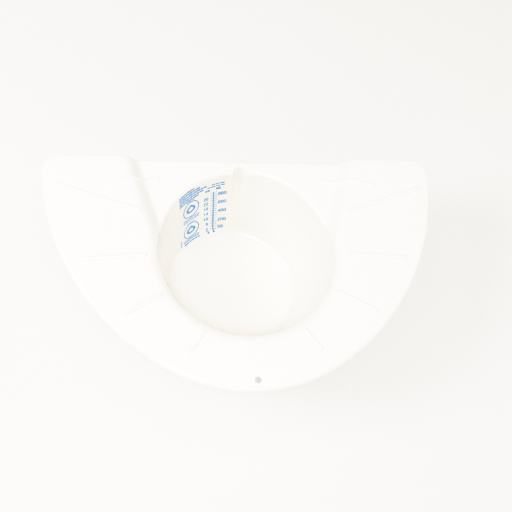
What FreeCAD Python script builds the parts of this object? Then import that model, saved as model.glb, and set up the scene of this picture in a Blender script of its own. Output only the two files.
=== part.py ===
import FreeCAD, Part
import math
import os
from FreeCAD import Vector

# Commode specimen pan: a one-piece moulded polypropylene bowl under a horseshoe flange,
# with a measuring scale printed in ink on the inside of the bowl.
# Millimetres. +Z is up in use, +Y points to the straight side, X is across the pan, and the
# origin is the centre of the flat base, under the middle of the bowl.

# ---------------------------------------------------------------- driving dimensions
WALL = 1.5                      # thickness of the moulding everywhere

FLANGE_TOP = 103.6              # height of the flange's upper face
LEDGE_TOP = 93.5                # height of the recessed pouring ledge
HALF_WIDTH = 170.0              # from the centre line to the widest point of the flange
TIP_REACH = 122.0               # from the bowl's axis to the round end of the flange
STRAIGHT_REACH = 86.7           # from the bowl's axis to the straight side
TIP_RADIUS = 135.0              # plan radius of the round end
TIP_SWEEP = 31.0                # half angle of the round end, in degrees
CORNER_RADIUS = 14.0            # plan radius of the two shoulders' corners
CROWN_WIDTH = 9.0               # band along the outline where the flange slopes down
CROWN_DROP = 1.1                # how far it has sloped down at the outline
CROWN_RADIUS = 80.0             # radius between the flat face and the sloping band
EDGE_ROLL = 3.5                 # radius that the flange's edge is rolled down with
LIP_DEPTH = 5.0                 # from the flange's face to the bottom of the rolled edge
LIP_BAND = 4.0                  # width of the band that holds the rolled edge

STEP_RADIUS = 79.8              # plan radius of the step's top edge, round the bowl
STEP_FLARE = 16.0               # angle between the step's straight parts and +Y, in degrees
STEP_OFFSET = 73.0              # from the bowl's axis to the line of a straight part
STEP_BLEND = 59.2               # plan radius between the round and straight parts
STEP_RUN = 9.1                  # how far the step's wall leans in over its height
STEP_RIDGE = 10.5               # radius along the top of the step
STEP_VALLEY = 3.0               # radius along the foot of the step

BOWL_MOUTH = 74.8               # inside radius of the bowl at the ledge
BOWL_FOOT = 60.2                # inside radius of the wall, carried down to the floor
FLOOR_FILLET = 8.0              # inside radius between floor and wall
MOUTH_FILLET = 4.0              # radius round the bowl's mouth
GROOVE_FILLET = 2.0             # radius along the groove's two sides

GROOVE_TOP_REACH = 81.2         # from the axis to the back of the pouring groove, at the ledge
GROOVE_END_HEIGHT = 50.0        # height of the centre of the groove's round lower end
GROOVE_END_DEPTH = 1.2          # how deep the groove still is there
GROOVE_TOP_RADIUS = 6.5
GROOVE_END_RADIUS = 4.5

BEAD_WIDTH = 4.4
BEAD_HEIGHT = 1.6
HOLE_RADIUS = 3.0               # hanging hole
HOLE_REACH = 113.0              # from the bowl's axis to the hole

ABOVE = 6.0                     # how far cutting tools stand clear of what they cut
TOUCH = 0.01                    # gap below which two places count as the same

# The print is drawn flat, as its printing pad carries it, and pressed outwards onto the wall:
# x runs to the right and height runs up from the base's underside.
INK_THICKNESS = 0.15
PRINT_BEARING = 126.5           # direction that the middle of the print faces, in degrees
PRESS_START = 30.0              # from the bowl's axis to the plane the print is drawn in
PRESS_TRAVEL = 60.0
STROKE = 0.65                   # width of the numerals' lines
BOLD_STROKE = 0.85              # width of the unit captions' lines
DIGIT_WIDTH = 1.5               # between the middles of a digit's outer lines
DIGIT_HEIGHT = 4.2
DIGIT_PITCH = 2.45
RULE_X = 22.4                   # middle of the scale's long line
RULE_WIDTH = 0.9
RULE_BOTTOM = 4.6
RULE_TOP = 69.6
FOOT_WIDTH = 2.2                # pointed mark at the foot of the rule and of the ounces
FOOT_HEIGHT = 2.4
TICK_WIDTH = 0.45
SHORT_TICK = 2.8
LONG_TICK = 4.0
OUNCE_TICK = 2.4
MILLILITRES_LEFT = 27.0         # where the millilitre numerals start
MILLILITRES_LIFT = 2.6          # from a tick up to its numeral's middle
OUNCES_RIGHT = 17.3             # where the ounce numerals end
OUNCES_LIFT = 1.0
OUNCE = 29.5735                 # millilitres in a fluid ounce
CAPTION_LETTERS = (("o", 14.9, 1.4), ("z", 17.3, 1.2), ("m", 25.2, 1.1), ("L", 27.4, 1.0))
CAPTIONS_BOTTOM = 72.6
CAPTIONS_HEIGHT = 3.2
WORD_LENGTHS = (1.9, 3.4, 2.4, 4.3, 1.5)
WORD_GAP = 0.55
NOTICE_LEFT = -14.6             # block of bold text at the top left
NOTICE_RIGHTS = (2.6, 9.4, 15.8, 12.6, 7.6)
NOTICE_TOP_ROW = 88.8
NOTICE_PITCH = 3.5
NOTICE_BAR = 1.9
SIDE_LEFTS = (20.6, 16.6)       # rows of fine text over the scale
SIDE_RIGHT = 32.0
SIDE_TOP_ROW = 81.2
SIDE_PITCH = 3.3
SIDE_BAR = 1.3
SIGN_X = -1.0                   # middle of the two signs
SIGN_HALF_WIDTH = 9.2
SIGN_HALF_HEIGHT = 12.3
SIGN_LINE = 0.9
UPPER_SIGN = 58.7               # height of the upper sign's middle
LOWER_SIGN = 22.8
HEADING_HALF_WIDTH = 5.0        # one row of text over each sign
HEADING_LIFT = 1.2
FINE_ROWS = 3                   # rows of text under each sign
FINE_DROP = 1.2
FINE_PITCH = 2.3
FINE_BAR = 0.9
DROP_RADIUS = 5.2
DROP_POINT = 1.4                # from the round foot's centre to the tip, in foot radii
DROP_LINE = 2.3
REGISTER_X = -14.1              # short upright line low on the left
REGISTER_BOTTOM = 6.0
REGISTER_TOP = 16.8

# ---------------------------------------------------------------- worked-out dimensions
STEP_HEIGHT = FLANGE_TOP - LEDGE_TOP
STEP_SLOPE = STEP_RUN / STEP_HEIGHT
STEP_SHIFT = WALL * math.hypot(1.0, STEP_SLOPE)
BOWL_SLOPE = (BOWL_MOUTH - BOWL_FOOT) / (LEDGE_TOP - WALL)
BOWL_SHIFT = WALL * math.hypot(1.0, BOWL_SLOPE)
TIP_ANGLE = math.radians(TIP_SWEEP)
FLARE_ANGLE = math.radians(STEP_FLARE)
FLANK_RADIUS = (HALF_WIDTH - TIP_RADIUS * math.sin(TIP_ANGLE)) / (1.0 - math.sin(TIP_ANGLE))


def bowl_radius(height):
    """Inside radius of the conical wall at a height above the base's underside."""
    return BOWL_FOOT + BOWL_SLOPE * (height - WALL)


# ---------------------------------------------------------------- plan outlines
def arc(centre, radius, start, end, height):
    """Arc edge between two angles in radians, counted from +X, in the plane at a height."""
    def at(angle):
        return Vector(centre[0] + radius * math.cos(angle),
                      centre[1] + radius * math.sin(angle), height)
    return Part.Arc(at(start), at((start + end) / 2.0), at(end)).toShape()


def line(start, end):
    return Part.LineSegment(start, end).toShape()


def closed_wire(edges):
    return Part.Wire(Part.__sortEdges__(edges))


def flange_outline(inset, height):
    """The flange's outline: round end, two long flanks, two corners and the straight side."""
    tip_centre = (0.0, TIP_RADIUS - TIP_REACH)
    reach = FLANK_RADIUS - TIP_RADIUS
    flank_x = -reach * math.sin(TIP_ANGLE)
    flank_y = tip_centre[1] + reach * math.cos(TIP_ANGLE)
    corner_y = STRAIGHT_REACH - CORNER_RADIUS
    turn = math.asin((corner_y - flank_y) / (FLANK_RADIUS - CORNER_RADIUS))
    corner_x = flank_x + (FLANK_RADIUS - CORNER_RADIUS) * math.cos(turn)
    low = -math.pi / 2.0
    edges = [arc(tip_centre, TIP_RADIUS - inset, low - TIP_ANGLE, low + TIP_ANGLE, height)]
    edges.append(arc((flank_x, flank_y), FLANK_RADIUS - inset, low + TIP_ANGLE, turn, height))
    edges.append(arc((corner_x, corner_y), CORNER_RADIUS - inset, turn, math.pi / 2.0, height))
    edges.append(line(Vector(corner_x, STRAIGHT_REACH - inset, height),
                      Vector(-corner_x, STRAIGHT_REACH - inset, height)))
    edges.append(arc((-corner_x, corner_y), CORNER_RADIUS - inset,
                     math.pi / 2.0, math.pi - turn, height))
    edges.append(arc((-flank_x, flank_y), FLANK_RADIUS - inset,
                     math.pi - turn, math.pi * 1.5 - TIP_ANGLE, height))
    return closed_wire(edges)


def step_outline(outset, height):
    """The step's plan: round about the bowl, then flaring out to past the straight side."""
    radius = STEP_RADIUS + outset
    offset = STEP_OFFSET + outset
    blend = STEP_BLEND - outset
    start = math.acos((offset + blend) / (radius + blend)) - FLARE_ANGLE
    blend_x = (radius + blend) * math.cos(start)
    blend_y = (radius + blend) * math.sin(start)
    flare_x = blend_x - blend * math.cos(FLARE_ANGLE)
    flare_y = blend_y + blend * math.sin(FLARE_ANGLE)
    end_y = STRAIGHT_REACH + ABOVE
    end_x = (offset + end_y * math.sin(FLARE_ANGLE)) / math.cos(FLARE_ANGLE)
    half = math.pi
    return closed_wire([
        arc((0.0, 0.0), radius, -half - start, start, height),
        arc((blend_x, blend_y), blend, half + start, half - FLARE_ANGLE, height),
        line(Vector(flare_x, flare_y, height), Vector(end_x, end_y, height)),
        line(Vector(end_x, end_y, height), Vector(-end_x, end_y, height)),
        line(Vector(-end_x, end_y, height), Vector(-flare_x, flare_y, height)),
        arc((-blend_x, blend_y), blend, FLARE_ANGLE, -start, height)])


# ---------------------------------------------------------------- the moulded sheet
def middle_of(edge):
    return edge.valueAt((edge.FirstParameter + edge.LastParameter) / 2.0)


def crowned_block(depth, bottom):
    """The flange's outline as a solid, with a face that slopes down along the outline."""
    top = FLANGE_TOP - depth
    slope = CROWN_DROP / CROWN_WIDTH
    stretch = math.hypot(1.0, slope)
    inner = CROWN_WIDTH + depth * (stretch - 1.0) / slope
    edge_level = FLANGE_TOP - slope * (CROWN_WIDTH - depth) - depth * stretch
    outline = flange_outline(depth, edge_level)
    block = Part.Face(outline).extrude(Vector(0, 0, bottom - edge_level))
    crown = Part.makeLoft([outline, flange_outline(inner, top)], True, True)
    block = block.fuse(crown).Solids[0]
    crease = [edge for edge in block.Edges if edge.BoundBox.ZMin > top - TOUCH]
    return block.makeFillet(CROWN_RADIUS - depth, crease)


def step_void(depth):
    """The space above the step and ledge, for the surface lying at a depth in the wall."""
    shift = STEP_SHIFT * depth / WALL
    floor = LEDGE_TOP - depth
    top = FLANGE_TOP + ABOVE
    lower = step_outline(shift - STEP_RUN - depth * STEP_SLOPE, floor)
    upper = step_outline(shift + ABOVE * STEP_SLOPE, top)
    void = Part.makeLoft([lower, upper], True, True)
    foot = [edge for edge in void.Edges
            if edge.BoundBox.ZMax < floor + TOUCH and edge.BoundBox.YMin < STRAIGHT_REACH]
    return void.makeFillet(STEP_VALLEY + depth, foot)


def is_ridge(edge, depth):
    """An edge along the top of the step."""
    middle = middle_of(edge)
    high = edge.BoundBox.ZMin > FLANGE_TOP - depth - EDGE_ROLL
    near = math.hypot(middle.x, middle.y) < TIP_REACH - LIP_DEPTH
    return high and near and middle.y < STRAIGHT_REACH - depth - TOUCH


def is_rim(edge, depth):
    """An edge round the outside of the upper surface."""
    middle = middle_of(edge)
    box = edge.BoundBox
    upright = box.ZLength > max(box.XLength, box.YLength)
    if upright or middle.z < LEDGE_TOP - depth - TOUCH:
        return False
    on_straight = abs(box.YMin - (STRAIGHT_REACH - depth)) < TOUCH
    at_brink = box.ZMax < FLANGE_TOP - CROWN_DROP
    on_round = at_brink and math.hypot(middle.x, middle.y) > TIP_REACH - LIP_DEPTH
    return on_straight or on_round


def sheet_solid(depth, bottom):
    """Everything under the flange, step and ledge surface that lies at a depth."""
    block = crowned_block(depth, bottom).cut(step_void(depth))
    ridge = [edge for edge in block.Edges if is_ridge(edge, depth)]
    block = block.makeFillet(STEP_RIDGE - depth, ridge)
    rim = [edge for edge in block.Edges if is_rim(edge, depth)]
    return block.makeFillet(EDGE_ROLL - depth, rim)


def skirt_below_lip():
    """The band under the rolled edge, which follows the shoulders, the step and the ledge."""
    outside = flange_outline(-ABOVE, -ABOVE)
    inside = flange_outline(LIP_BAND, -2.0 * ABOVE)
    height = FLANGE_TOP - LIP_DEPTH + ABOVE
    band = Part.Face(outside).extrude(Vector(0, 0, height))
    band = band.cut(Part.Face(inside).extrude(Vector(0, 0, height + 2.0 * ABOVE)))
    lowered = step_void(0.0)
    lowered.translate(Vector(0, 0, -LIP_DEPTH))
    return band.cut(lowered)


# ---------------------------------------------------------------- the bowl and its groove
def bowl_solid(thickness):
    """The bowl's inside space, or with a thickness, the same grown by it on every side."""
    top = FLANGE_TOP + ABOVE
    floor = WALL - thickness
    shift = BOWL_SHIFT * thickness / WALL
    lean = math.atan(BOWL_SLOPE)
    centre_z = WALL + FLOOR_FILLET
    centre_r = bowl_radius(centre_z) - FLOOR_FILLET * math.hypot(1.0, BOWL_SLOPE)

    def on_fillet(angle):
        reach = FLOOR_FILLET + thickness
        return Vector(centre_r + reach * math.cos(angle), 0, centre_z + reach * math.sin(angle))

    foot = on_fillet(-math.pi / 2.0)
    bend = on_fillet(-(math.pi / 2.0 + lean) / 2.0)
    heel = on_fillet(-lean)
    rim = Vector(bowl_radius(top) + shift, 0, top)
    crown = Vector(0, 0, top)
    base = Vector(0, 0, floor)
    profile = Part.Wire([line(base, foot), Part.Arc(foot, bend, heel).toShape(),
                         line(heel, rim), line(rim, crown), line(crown, base)])
    return Part.Face(profile).revolve(Vector(0, 0, 0), Vector(0, 0, 1), 360)


def groove_solid(thickness):
    """The pouring groove: a leaning, tapered round channel with a round lower end."""
    low_y = bowl_radius(GROOVE_END_HEIGHT) + GROOVE_END_DEPTH - GROOVE_END_RADIUS
    low = Vector(0, low_y, GROOVE_END_HEIGHT)
    high = Vector(0, GROOVE_TOP_REACH - GROOVE_TOP_RADIUS, LEDGE_TOP)
    axis = high - low
    growth = 1.0 + ABOVE / axis.Length
    top_radius = GROOVE_END_RADIUS + (GROOVE_TOP_RADIUS - GROOVE_END_RADIUS) * growth
    channel = Part.makeCone(GROOVE_END_RADIUS + thickness, top_radius + thickness,
                            axis.Length * growth, low, axis)
    return channel.fuse(Part.makeSphere(GROOVE_END_RADIUS + thickness, low))


def is_groove_edge(edge):
    """An edge where the groove meets the bowl's wall, the ledge or the rolled edge."""
    box = edge.BoundBox
    middle = middle_of(edge)
    seam = box.XLength < TOUCH
    beside = abs(middle.x) < GROOVE_TOP_RADIUS and box.YMax < GROOVE_TOP_REACH + 0.5
    beyond = middle.y > BOWL_FOOT and box.ZMin > GROOVE_END_HEIGHT - 2.0 * GROOVE_END_RADIUS
    return beside and beyond and not seam


def is_mouth(edge):
    """A long edge where the bowl's wall ends; the short ones follow on from it."""
    middle = middle_of(edge)
    on_wall = abs(math.hypot(middle.x, middle.y) - bowl_radius(middle.z)) < TOUCH
    return on_wall and edge.Length > BOWL_MOUTH and edge.BoundBox.ZMin > LEDGE_TOP - TOUCH


def upper_solid():
    """Everything under the faces that show: flange, step, ledge, bowl and groove."""
    solid = sheet_solid(0.0, 0.0).cut(bowl_solid(0.0))
    mouth = [edge for edge in solid.Edges if is_mouth(edge)]
    solid = solid.makeFillet(MOUTH_FILLET, mouth).cut(groove_solid(0.0))
    sides = [edge for edge in solid.Edges if is_groove_edge(edge)]
    return solid.makeFillet(GROOVE_FILLET, sides)


def space_underneath():
    """Everything under the faces that don't show, round the bowl's outside."""
    return sheet_solid(WALL, -ABOVE).cut(bowl_solid(WALL).fuse(groove_solid(WALL)))


# ---------------------------------------------------------------- beads and hole
def bead(points, core):
    """A raised bead along straight runs between points on the flange, step or ledge."""
    half = BEAD_WIDTH / 2.0
    radius = (half * half + BEAD_HEIGHT * BEAD_HEIGHT) / (2.0 * BEAD_HEIGHT)
    sink = Vector(0, 0, BEAD_HEIGHT - radius)
    centres = [point + sink for point in points]
    shape = Part.makeSphere(radius, centres[0])
    for start, end in zip(centres, centres[1:]):
        run = end - start
        shape = shape.fuse(Part.makeCylinder(radius, run.Length, start, run))
        shape = shape.fuse(Part.makeSphere(radius, end))
    return shape.cut(core)


def bead_routes():
    """The five beads of the right half: one bent over the step, four fanned round the bowl."""
    def top(x, y):
        return Vector(x, y, FLANGE_TOP)
    return [
        [top(115.6, 58.7), top(98.0, 62.9), Vector(93.6, 63.6, FLANGE_TOP - 1.1),
         Vector(90.4, 64.1, FLANGE_TOP - 3.6), Vector(84.6, 65.1, LEDGE_TOP),
         Vector(73.6, 67.2, LEDGE_TOP)],
        [top(157.1, 56.4), top(90.5, 33.5)],
        [top(136.0, -10.2), top(86.3, -6.6)],
        [top(103.6, -57.0), top(74.6, -41.3)],
        [top(53.3, -88.6), top(41.5, -73.0)]]


def mirrored(points):
    return [Vector(-point.x, point.y, point.z) for point in points]


def pan_moulding():
    pan = upper_solid().cut(space_underneath()).cut(skirt_below_lip())
    core = sheet_solid(WALL / 2.0, -ABOVE)
    for route in bead_routes():
        pan = pan.fuse([bead(route, core), bead(mirrored(route), core)])
    drill = Part.makeCylinder(HOLE_RADIUS, 2.0 * ABOVE, Vector(0, -HOLE_REACH, FLANGE_TOP - ABOVE))
    return pan.cut(drill)


# ---------------------------------------------------------------- the print on the wall
def on_pad(x, height):
    """A point of the flat artwork."""
    return Vector(x, PRESS_START, height)


def pressed(face):
    return face.extrude(Vector(0, PRESS_TRAVEL, 0))


def bar(left, right, low, high):
    """A plain upright rectangle of the artwork."""
    corners = [on_pad(left, low), on_pad(right, low), on_pad(right, high), on_pad(left, high)]
    return pressed(Part.Face(Part.makePolygon(corners + corners[:1])))


def pen_stroke(points, width):
    """A stroke with round ends: straight between two points, or an arc through three."""
    half = width / 2.0
    if len(points) == 2:
        run = points[1] - points[0]
        side = Vector(-run.z, 0, run.x).normalize() * half
        corners = [points[0] + side, points[1] + side, points[1] - side, points[0] - side]
        outline = Part.makePolygon(corners + corners[:1])
    else:
        centre = Part.Arc(*points).toShape().Curve.Center
        outer = [point + (point - centre).normalize() * half for point in points]
        inner = [point - (point - centre).normalize() * half for point in points]
        outline = Part.Wire([Part.Arc(*outer).toShape(), line(outer[2], inner[2]),
                             Part.Arc(*reversed(inner)).toShape(), line(inner[0], outer[0])])
    ends = [Part.makeCylinder(half, PRESS_TRAVEL, point, Vector(0, 1, 0))
            for point in (points[0], points[-1])]
    return pressed(Part.Face(outline)).fuse(ends)


def glyph_strokes(character):
    """Strokes of a character, in a box one wide and one high with half-round corners."""
    curve = DIGIT_WIDTH / 2.0 / DIGIT_HEIGHT
    waist = 0.5
    shapes = {
        "0": [[(0, curve), (0.5, 0), (1, curve)], [(1, curve), (1, 1 - curve)],
              [(1, 1 - curve), (0.5, 1), (0, 1 - curve)], [(0, 1 - curve), (0, curve)]],
        "1": [[(0.6, 0), (0.6, 1)], [(0.6, 1), (0.1, 0.8)]],
        "2": [[(0, 1 - curve), (0.5, 1), (1, 1 - curve)], [(1, 1 - curve), (0, 0)],
              [(0, 0), (1, 0)]],
        "4": [[(0.8, 0), (0.8, 1)], [(0.8, 1), (0, 0.3)], [(0, 0.3), (1.1, 0.3)]],
        "5": [[(1, 1), (0, 1)], [(0, 1), (0, 0.58)], [(0, 0.58), (0.5, 0.58)],
              [(0.5, 0.58), (0.85, 0.53), (1, 0.58 - curve)], [(1, 0.58 - curve), (1, curve)],
              [(1, curve), (0.5, 0), (0, curve)]],
        "6": [[(0, curve), (0.5, 0), (1, curve)], [(1, curve), (1, 0.6 - curve)],
              [(1, 0.6 - curve), (0.5, 0.6), (0, 0.6 - curve)], [(0, curve), (0, 1 - curve)],
              [(0, 1 - curve), (0.5, 1), (1, 1 - curve)]],
        "8": [[(0, curve), (0.5, 0), (1, curve)], [(1, curve), (1, waist - curve)],
              [(1, waist - curve), (0.5, waist), (0, waist - curve)],
              [(0, waist - curve), (0, curve)], [(0, waist + curve), (0.5, waist),
                                                 (1, waist + curve)],
              [(1, waist + curve), (1, 1 - curve)], [(1, 1 - curve), (0.5, 1), (0, 1 - curve)],
              [(0, 1 - curve), (0, waist + curve)]],
        "o": [[(0, 0.3), (0.5, 0), (1, 0.3)], [(1, 0.3), (0.5, 0.6), (0, 0.3)]],
        "z": [[(0, 0.6), (1, 0.6)], [(1, 0.6), (0, 0)], [(0, 0), (1, 0)]],
        "m": [[(0, 0), (0, 0.6)], [(0, 0.4), (0.35, 0.6), (0.7, 0.4)], [(0.7, 0.4), (0.7, 0)],
              [(0.7, 0.4), (1.05, 0.6), (1.4, 0.4)], [(1.4, 0.4), (1.4, 0)]],
        "L": [[(0.4, 1), (0.4, 0)], [(0.4, 0), (1.4, 0)]]}
    return shapes[character]


def glyph(character, left, low, width, height, stroke):
    """A character whose lines' middles start at the left and low sides given."""
    solids = []
    for points in glyph_strokes(character):
        placed = [on_pad(left + width * x, low + height * y) for x, y in points]
        solids.append(pen_stroke(placed, stroke))
    return solids[0].fuse(solids[1:])


def numeral_width(number):
    return DIGIT_PITCH * (len(str(number)) - 1) + DIGIT_WIDTH


def numeral(number, left, middle_height):
    """A whole number's digits, to the right of a place."""
    low = middle_height - DIGIT_HEIGHT / 2.0
    return [glyph(digit, left + DIGIT_PITCH * place, low, DIGIT_WIDTH, DIGIT_HEIGHT, STROKE)
            for place, digit in enumerate(str(number))]


def word_row(left, right, height, thickness, first_word):
    """Plain bars in place of one row of small text."""
    bars = []
    start = left
    word = first_word
    while start < right - WORD_GAP:
        end = min(start + WORD_LENGTHS[word % len(WORD_LENGTHS)], right)
        bars.append(bar(start, end, height - thickness / 2.0, height + thickness / 2.0))
        start = end + WORD_GAP
        word += 1
    return bars


def ink(shapes):
    """Artwork pressed onto the wall as a film that follows the bowl's cone and floor fillet."""
    film = bowl_solid(0.0).cut(bowl_solid(-INK_THICKNESS))
    solids = []
    for shape in shapes:
        shape.rotate(Vector(0, 0, 0), Vector(0, 0, 1), PRINT_BEARING - 90.0)
        solids.extend(film.common(shape).Solids)
    return Part.makeCompound(solids)


def inside_radius(height):
    """Inside radius of the bowl, floor fillet included."""
    lean = math.atan(BOWL_SLOPE)
    centre_z = WALL + FLOOR_FILLET
    if height > centre_z - FLOOR_FILLET * math.sin(lean):
        return bowl_radius(height)
    centre_r = bowl_radius(centre_z) - FLOOR_FILLET * math.hypot(1.0, BOWL_SLOPE)
    return centre_r + math.sqrt(FLOOR_FILLET ** 2 - (centre_z - height) ** 2)


def fill_height(millilitres):
    """Height of the surface of a volume of liquid in the bowl, level and upright."""
    layer = 0.05
    height = WALL
    filled = 0.0
    while filled < 1000.0 * millilitres:
        filled += math.pi * inside_radius(height + layer / 2.0) ** 2 * layer
        height += layer
    return height


def pointed_foot(middle_x):
    """A small upright triangle just over the bowl's floor."""
    low = RULE_BOTTOM - FOOT_HEIGHT / 2.0
    corners = [on_pad(middle_x - FOOT_WIDTH / 2.0, low), on_pad(middle_x + FOOT_WIDTH / 2.0, low),
               on_pad(middle_x, low + FOOT_HEIGHT)]
    return pressed(Part.Face(Part.makePolygon(corners + corners[:1])))


def scale_rule():
    """The scale's long line with its pointed foot, and the foot of the ounces' column."""
    stem = bar(RULE_X - RULE_WIDTH / 2.0, RULE_X + RULE_WIDTH / 2.0, RULE_BOTTOM, RULE_TOP)
    return [stem.fuse(pointed_foot(RULE_X)), pointed_foot(OUNCES_RIGHT)]


def tick(near_x, far_x, millilitres):
    height = fill_height(millilitres)
    return bar(near_x, far_x, height - TICK_WIDTH / 2.0, height + TICK_WIDTH / 2.0)


def millilitre_ticks():
    """A tick for each 50 ml, longer at each 200 ml."""
    near_x = RULE_X + RULE_WIDTH / 2.0
    return [tick(near_x, near_x + (LONG_TICK if level % 200 == 0 else SHORT_TICK), level)
            for level in range(50, 901, 50)]


def ounce_ticks():
    """A tick for each two fluid ounces."""
    near_x = RULE_X - RULE_WIDTH / 2.0
    return [tick(near_x - OUNCE_TICK, near_x, level * OUNCE) for level in range(2, 31, 2)]


def millilitre_numerals():
    """Numerals standing a little above their ticks."""
    digits = []
    for level in (50, 200, 400, 600, 800):
        digits.extend(numeral(level, MILLILITRES_LEFT, fill_height(level) + MILLILITRES_LIFT))
    return digits


def ounce_numerals():
    """Numerals beside every second ounce tick, ended on one line."""
    digits = []
    for level in range(2, 27, 4):
        left = OUNCES_RIGHT - numeral_width(level)
        digits.extend(numeral(level, left, fill_height(level * OUNCE) + OUNCES_LIFT))
    return digits


def unit_captions():
    """Bold unit names over the two columns of numerals."""
    return [glyph(letter, left, CAPTIONS_BOTTOM, width, CAPTIONS_HEIGHT, BOLD_STROKE)
            for letter, left, width in CAPTION_LETTERS]


def notice_bars():
    """The large block of bold text at the top left."""
    bars = []
    for row, right in enumerate(NOTICE_RIGHTS):
        height = NOTICE_TOP_ROW - NOTICE_PITCH * row
        bars.extend(word_row(NOTICE_LEFT, right, height, NOTICE_BAR, 2 * row))
    return bars


def side_notice_bars():
    """The rows of fine text over the scale."""
    bars = []
    for row, left in enumerate(SIDE_LEFTS):
        height = SIDE_TOP_ROW - SIDE_PITCH * row
        bars.extend(word_row(left, SIDE_RIGHT, height, SIDE_BAR, row + 1))
    return bars


def oval(middle_height, half_width, half_height):
    """A filled upright oval of the artwork."""
    centre = on_pad(SIGN_X, middle_height)
    top = on_pad(SIGN_X, middle_height + half_height)
    side = on_pad(SIGN_X + half_width, middle_height)
    return pressed(Part.Face(Part.Wire(Part.Ellipse(top, side, centre).toShape())))


def drop(centre_height, radius):
    """A filled drop of the artwork: a round foot and two straight sides up to a point."""
    spread = math.asin(1.0 / DROP_POINT)
    reach = radius * math.cos(spread)
    shoulder = centre_height + radius * math.sin(spread)
    left = on_pad(SIGN_X - reach, shoulder)
    right = on_pad(SIGN_X + reach, shoulder)
    tip = on_pad(SIGN_X, centre_height + DROP_POINT * radius)
    round_foot = Part.Arc(left, on_pad(SIGN_X, centre_height - radius), right).toShape()
    return pressed(Part.Face(Part.Wire([round_foot, line(right, tip), line(tip, left)])))


def pictogram(middle_height):
    """A drop in an oval frame, as a plain sign for liquid."""
    frame = oval(middle_height, SIGN_HALF_WIDTH, SIGN_HALF_HEIGHT)
    window = oval(middle_height, SIGN_HALF_WIDTH - SIGN_LINE, SIGN_HALF_HEIGHT - SIGN_LINE)
    mark = drop(middle_height, DROP_RADIUS).cut(drop(middle_height, DROP_RADIUS - DROP_LINE))
    return [frame.cut(window), mark]


def pictogram_captions():
    """A short row of text over each sign, and full rows under it."""
    bars = []
    for sign in (UPPER_SIGN, LOWER_SIGN):
        heading = sign + SIGN_HALF_HEIGHT + HEADING_LIFT
        bars.extend(word_row(SIGN_X - HEADING_HALF_WIDTH, SIGN_X + HEADING_HALF_WIDTH,
                             heading, FINE_BAR, 0))
        for row in range(FINE_ROWS):
            height = sign - SIGN_HALF_HEIGHT - FINE_DROP - FINE_PITCH * row
            bars.extend(word_row(SIGN_X - SIGN_HALF_WIDTH, SIGN_X + SIGN_HALF_WIDTH,
                                 height, FINE_BAR, row + 1))
    return bars


def register_mark():
    half = RULE_WIDTH / 2.0
    return [bar(REGISTER_X - half, REGISTER_X + half, REGISTER_BOTTOM, REGISTER_TOP)]


def print_artwork():
    """Every separately named part of the print, as solids still to be cut by the wall."""
    return {
        "scale_rule": scale_rule(),
        "millilitre_ticks": millilitre_ticks(),
        "ounce_ticks": ounce_ticks(),
        "millilitre_numerals": millilitre_numerals(),
        "ounce_numerals": ounce_numerals(),
        "unit_captions": unit_captions(),
        "notice_bars": notice_bars(),
        "side_notice_bars": side_notice_bars(),
        "upper_pictogram": pictogram(UPPER_SIGN),
        "lower_pictogram": pictogram(LOWER_SIGN),
        "pictogram_captions": pictogram_captions(),
        "register_mark": register_mark()}


if __name__ == "__main__":
    os.makedirs("parts", exist_ok=True)
    pan_moulding().exportStep("parts/pan_moulding.step")
    for name, artwork in print_artwork().items():
        ink(artwork).exportStep("parts/" + name + ".step")
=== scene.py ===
import math
import bpy
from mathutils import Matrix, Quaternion, Vector

# Looks for a one-piece moulded specimen pan with a printed volume scale. Metres.
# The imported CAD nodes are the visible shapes: this script gives them their materials and adds
# the floor, the lights and the camera.

# ---------------------------------------------------------------- camera
CAMERA_AIM = Vector((0.0063, -0.0068, 0.100))   # a point of the flange's level, in mid view
CAMERA_DISTANCE = 0.6886
CAMERA_HEADING = math.radians(26.56)            # turned from +Y towards +X
CAMERA_ELEVATION = math.radians(66.13)
CAMERA_ROLL = math.radians(24.33)
CAMERA_LENS = 57.76                             # mm
SENSOR_WIDTH = 36.0                             # mm
FILM_WHITE = 1.25                               # scene brightness that prints as pure white
FILM_SHOULDER = ((0.4, 0.53), (0.62, 0.88), (0.76, 0.957), (0.86, 0.983))
COMBINED_CURVE = 3                              # the curve that acts on all three channels

# ---------------------------------------------------------------- studio
FLOOR_SIZE = 12.0
FLOOR_COLOUR = (0.875, 0.88, 0.885)
FLOOR_LIGHTER_COLOUR = (0.895, 0.90, 0.905)
FLOOR_ROUGHNESS = 0.9
FIBRES_PER_METRE = 260.0
LIGHT_COLOUR = (1.0, 0.965, 0.92)
WORLD_STRENGTH = 0.45
LAMP_AIM = Vector((0.0, 0.0, 0.1))
SOFTBOXES = (                                   # name, place, side, watts
    ("overhead", Vector((-0.15, 0.05, 1.8)), 1.6, 5.2),
    ("key", Vector((-0.26, -0.55, 1.75)), 0.33, 8.8),
    ("left", Vector((-1.05, -0.05, 0.95)), 0.45, 4.6),
    ("front", Vector((-0.1, -1.1, 0.9)), 0.9, 1.4),
    ("right", Vector((1.1, 0.1, 0.8)), 1.0, 1.9),
)

# ---------------------------------------------------------------- noise
USUAL_NOISE = (0.3, 0.7)                        # range that most of a noise's values lie in

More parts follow.
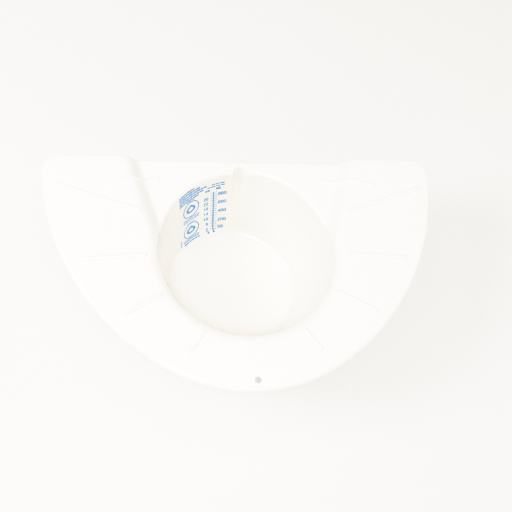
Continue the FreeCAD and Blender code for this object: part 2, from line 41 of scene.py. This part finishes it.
# ---------------------------------------------------------------- pan's plastic
PLASTIC_COLOUR = (0.985, 0.964, 0.934)
PLASTIC_PALER = 1.005                           # brightness of the palest flow marks
PLASTIC_IOR = 1.49
MILKINESS = 0.35                                # share of the light that wanders inside
MILK_DEPTH = 0.0018                             # how far it wanders
PLASTIC_ROUGHNESS = (0.16, 0.26)
CLOUDS_PER_METRE = 14.0
GRAINS_PER_METRE = 900.0
SCUFFS_PER_METRE = 120.0
SCUFF_STRETCH = (1.0, 9.0, 1.0)
RIPPLES_PER_METRE = 45.0
GRAIN_IN_WEAR = 0.4
USUAL_WEAR = (0.4, 1.1)
GRAIN_IN_HEIGHT = 0.03
PLASTIC_RELIEF = 0.00005

# ---------------------------------------------------------------- ink
INK_COLOUR = (0.05, 0.36, 0.72)
FADED_INK_COLOUR = (0.15, 0.47, 0.81)
PATCHES_PER_METRE = 160.0
SPECKS_PER_METRE = 2200.0
SPECKS_IN_THINNING = 0.5
USUAL_THINNING = (0.55, 1.0)
INK_ROUGHNESS = (0.42, 0.6)
INK_RELIEF = 0.00002


# ---------------------------------------------------------------- node helpers
def new_material(name):
    """A new node material, its node tree and its Principled shader."""
    material = bpy.data.materials.new(name)
    material.use_nodes = True
    return material, material.node_tree, material.node_tree.nodes["Principled BSDF"]


def object_coordinates(tree, stretch=(1.0, 1.0, 1.0)):
    """Texture coordinates in metres of the object's own frame, scaled along each axis."""
    source = tree.nodes.new("ShaderNodeTexCoord")
    mapping = tree.nodes.new("ShaderNodeMapping")
    mapping.inputs["Scale"].default_value = stretch
    tree.links.new(source.outputs["Object"], mapping.inputs["Vector"])
    return mapping.outputs["Vector"]


def noise(tree, coordinates, scale, detail, roughness=0.5):
    """Noise with a number of features per metre."""
    texture = tree.nodes.new("ShaderNodeTexNoise")
    texture.inputs["Scale"].default_value = scale
    texture.inputs["Detail"].default_value = detail
    texture.inputs["Roughness"].default_value = roughness
    tree.links.new(coordinates, texture.inputs["Vector"])
    return texture.outputs["Fac"]


def remap(tree, value, usual, wanted=(0.0, 1.0)):
    """A value carried from one range to another, and held inside it."""
    node = tree.nodes.new("ShaderNodeMapRange")
    node.inputs["From Min"].default_value = usual[0]
    node.inputs["From Max"].default_value = usual[1]
    node.inputs["To Min"].default_value = wanted[0]
    node.inputs["To Max"].default_value = wanted[1]
    tree.links.new(value, node.inputs["Value"])
    return node.outputs["Result"]


def scaled_sum(tree, value, factor, added):
    """A value times a factor, plus another value."""
    node = tree.nodes.new("ShaderNodeMath")
    node.operation = "MULTIPLY_ADD"
    node.inputs[1].default_value = factor
    tree.links.new(value, node.inputs[0])
    tree.links.new(added, node.inputs[2])
    return node.outputs["Value"]


def colour_between(tree, shader, factor, first, second):
    """Gives the shader a base colour that lies between two given ones."""
    node = tree.nodes.new("ShaderNodeMix")
    node.data_type = "RGBA"
    node.inputs["A"].default_value = (*first, 1.0)
    node.inputs["B"].default_value = (*second, 1.0)
    tree.links.new(factor, node.inputs["Factor"])
    tree.links.new(node.outputs["Result"], shader.inputs["Base Color"])


def raise_surface(tree, shader, height, relief):
    """Bump from a height value, in metres at a value of one."""
    node = tree.nodes.new("ShaderNodeBump")
    node.inputs["Distance"].default_value = relief
    tree.links.new(height, node.inputs["Height"])
    tree.links.new(node.outputs["Normal"], shader.inputs["Normal"])


# ---------------------------------------------------------------- materials
def pan_plastic():
    """Natural polypropylene: milky and waxy, with faint flow marks and fine scuffs."""
    material, tree, shader = new_material("pan_plastic")
    plain = object_coordinates(tree)
    clouds = noise(tree, plain, CLOUDS_PER_METRE, 3.0)
    paler = tuple(channel * PLASTIC_PALER for channel in PLASTIC_COLOUR)
    colour_between(tree, shader, remap(tree, clouds, USUAL_NOISE), PLASTIC_COLOUR, paler)
    shader.inputs["Subsurface Weight"].default_value = MILKINESS
    shader.inputs["Subsurface Radius"].default_value = (1.0, 1.0, 1.0)
    shader.inputs["Subsurface Scale"].default_value = MILK_DEPTH
    shader.inputs["IOR"].default_value = PLASTIC_IOR

    grain = noise(tree, plain, GRAINS_PER_METRE, 2.0)
    scuffs = noise(tree, object_coordinates(tree, SCUFF_STRETCH), SCUFFS_PER_METRE, 6.0, 0.7)
    wear = scaled_sum(tree, grain, GRAIN_IN_WEAR, scuffs)
    roughness = remap(tree, wear, USUAL_WEAR, PLASTIC_ROUGHNESS)
    tree.links.new(roughness, shader.inputs["Roughness"])
    ripples = noise(tree, plain, RIPPLES_PER_METRE, 2.0)
    raise_surface(tree, shader, scaled_sum(tree, grain, GRAIN_IN_HEIGHT, ripples), PLASTIC_RELIEF)
    return material


def print_ink():
    """Blue printing ink, thinner in places."""
    material, tree, shader = new_material("print_ink")
    plain = object_coordinates(tree)
    patches = noise(tree, plain, PATCHES_PER_METRE, 4.0, 0.6)
    specks = noise(tree, plain, SPECKS_PER_METRE, 2.0)
    thinning = scaled_sum(tree, specks, SPECKS_IN_THINNING, patches)
    colour_between(tree, shader, remap(tree, thinning, USUAL_THINNING), INK_COLOUR,
                   FADED_INK_COLOUR)
    roughness = remap(tree, patches, USUAL_NOISE, INK_ROUGHNESS)
    tree.links.new(roughness, shader.inputs["Roughness"])
    raise_surface(tree, shader, specks, INK_RELIEF)
    return material


def floor_paper():
    """Pale studio paper."""
    material, tree, shader = new_material("floor_paper")
    fibres = noise(tree, object_coordinates(tree), FIBRES_PER_METRE, 3.0)
    colour_between(tree, shader, remap(tree, fibres, USUAL_NOISE), FLOOR_COLOUR,
                   FLOOR_LIGHTER_COLOUR)
    shader.inputs["Roughness"].default_value = FLOOR_ROUGHNESS
    return material


def dress(piece, material):
    """The material in every slot of a piece."""
    for piece_slot in piece.material_slots:
        piece_slot.material = material


# ---------------------------------------------------------------- surroundings
def add_floor():
    """A level square of paper under the pan's base."""
    half = FLOOR_SIZE / 2.0
    mesh = bpy.data.meshes.new("studio_floor")
    corners = [(-half, -half, 0.0), (half, -half, 0.0), (half, half, 0.0), (-half, half, 0.0)]
    mesh.from_pydata(corners, [], [(0, 1, 2, 3)])
    mesh.materials.append(floor_paper())
    floor = bpy.data.objects.new("studio_floor", mesh)
    bpy.context.scene.collection.objects.link(floor)


def add_world():
    """Even light from all round."""
    world = bpy.data.worlds.new("studio")
    world.use_nodes = True
    background = world.node_tree.nodes["Background"]
    background.inputs["Color"].default_value = (*LIGHT_COLOUR, 1.0)
    background.inputs["Strength"].default_value = WORLD_STRENGTH
    bpy.context.scene.world = world


def add_softbox(name, place, side, watts):
    """A square area light that faces the pan."""
    lamp = bpy.data.lights.new(name, "AREA")
    lamp.size = side
    lamp.energy = watts
    lamp.color = LIGHT_COLOUR
    box = bpy.data.objects.new(name, lamp)
    box.location = place
    box.rotation_euler = (LAMP_AIM - place).to_track_quat("-Z", "Y").to_euler()
    bpy.context.scene.collection.objects.link(box)


def add_camera():
    """A camera at a heading, elevation and roll, looking at the aim point."""
    level = math.cos(CAMERA_ELEVATION)
    gaze = Vector((math.sin(CAMERA_HEADING) * level, math.cos(CAMERA_HEADING) * level,
                   -math.sin(CAMERA_ELEVATION)))
    camera_data = bpy.data.cameras.new("camera")
    camera_data.lens = CAMERA_LENS
    camera_data.sensor_width = SENSOR_WIDTH
    camera = bpy.data.objects.new("camera", camera_data)
    camera.location = CAMERA_AIM - gaze * CAMERA_DISTANCE
    turn = gaze.to_track_quat("-Z", "Y") @ Quaternion((0.0, 0.0, 1.0), CAMERA_ROLL)
    camera.rotation_euler = turn.to_euler()
    bpy.context.scene.collection.objects.link(camera)
    bpy.context.scene.camera = camera


def set_film():
    """A photograph's tone curve: highlights flatten gently on their way to white."""
    view = bpy.context.scene.view_settings
    view.view_transform = "Standard"
    view.use_curve_mapping = True
    mapping = view.curve_mapping
    mapping.white_level = (FILM_WHITE, FILM_WHITE, FILM_WHITE)
    for bright, printed in FILM_SHOULDER:
        mapping.curves[COMBINED_CURVE].points.new(bright, printed)
    mapping.update()


# ---------------------------------------------------------------- the scene
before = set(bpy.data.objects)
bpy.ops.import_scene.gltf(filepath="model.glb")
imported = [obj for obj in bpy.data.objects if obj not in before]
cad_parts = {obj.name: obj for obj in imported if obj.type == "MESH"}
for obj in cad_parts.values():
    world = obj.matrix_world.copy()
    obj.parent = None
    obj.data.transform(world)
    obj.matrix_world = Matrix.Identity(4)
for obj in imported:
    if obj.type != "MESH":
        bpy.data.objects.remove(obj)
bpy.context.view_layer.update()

plastic = pan_plastic()
ink = print_ink()
for node_name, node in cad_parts.items():
    dress(node, plastic if node_name == "pan_moulding" else ink)

add_floor()
add_world()
for softbox in SOFTBOXES:
    add_softbox(*softbox)
add_camera()
set_film()
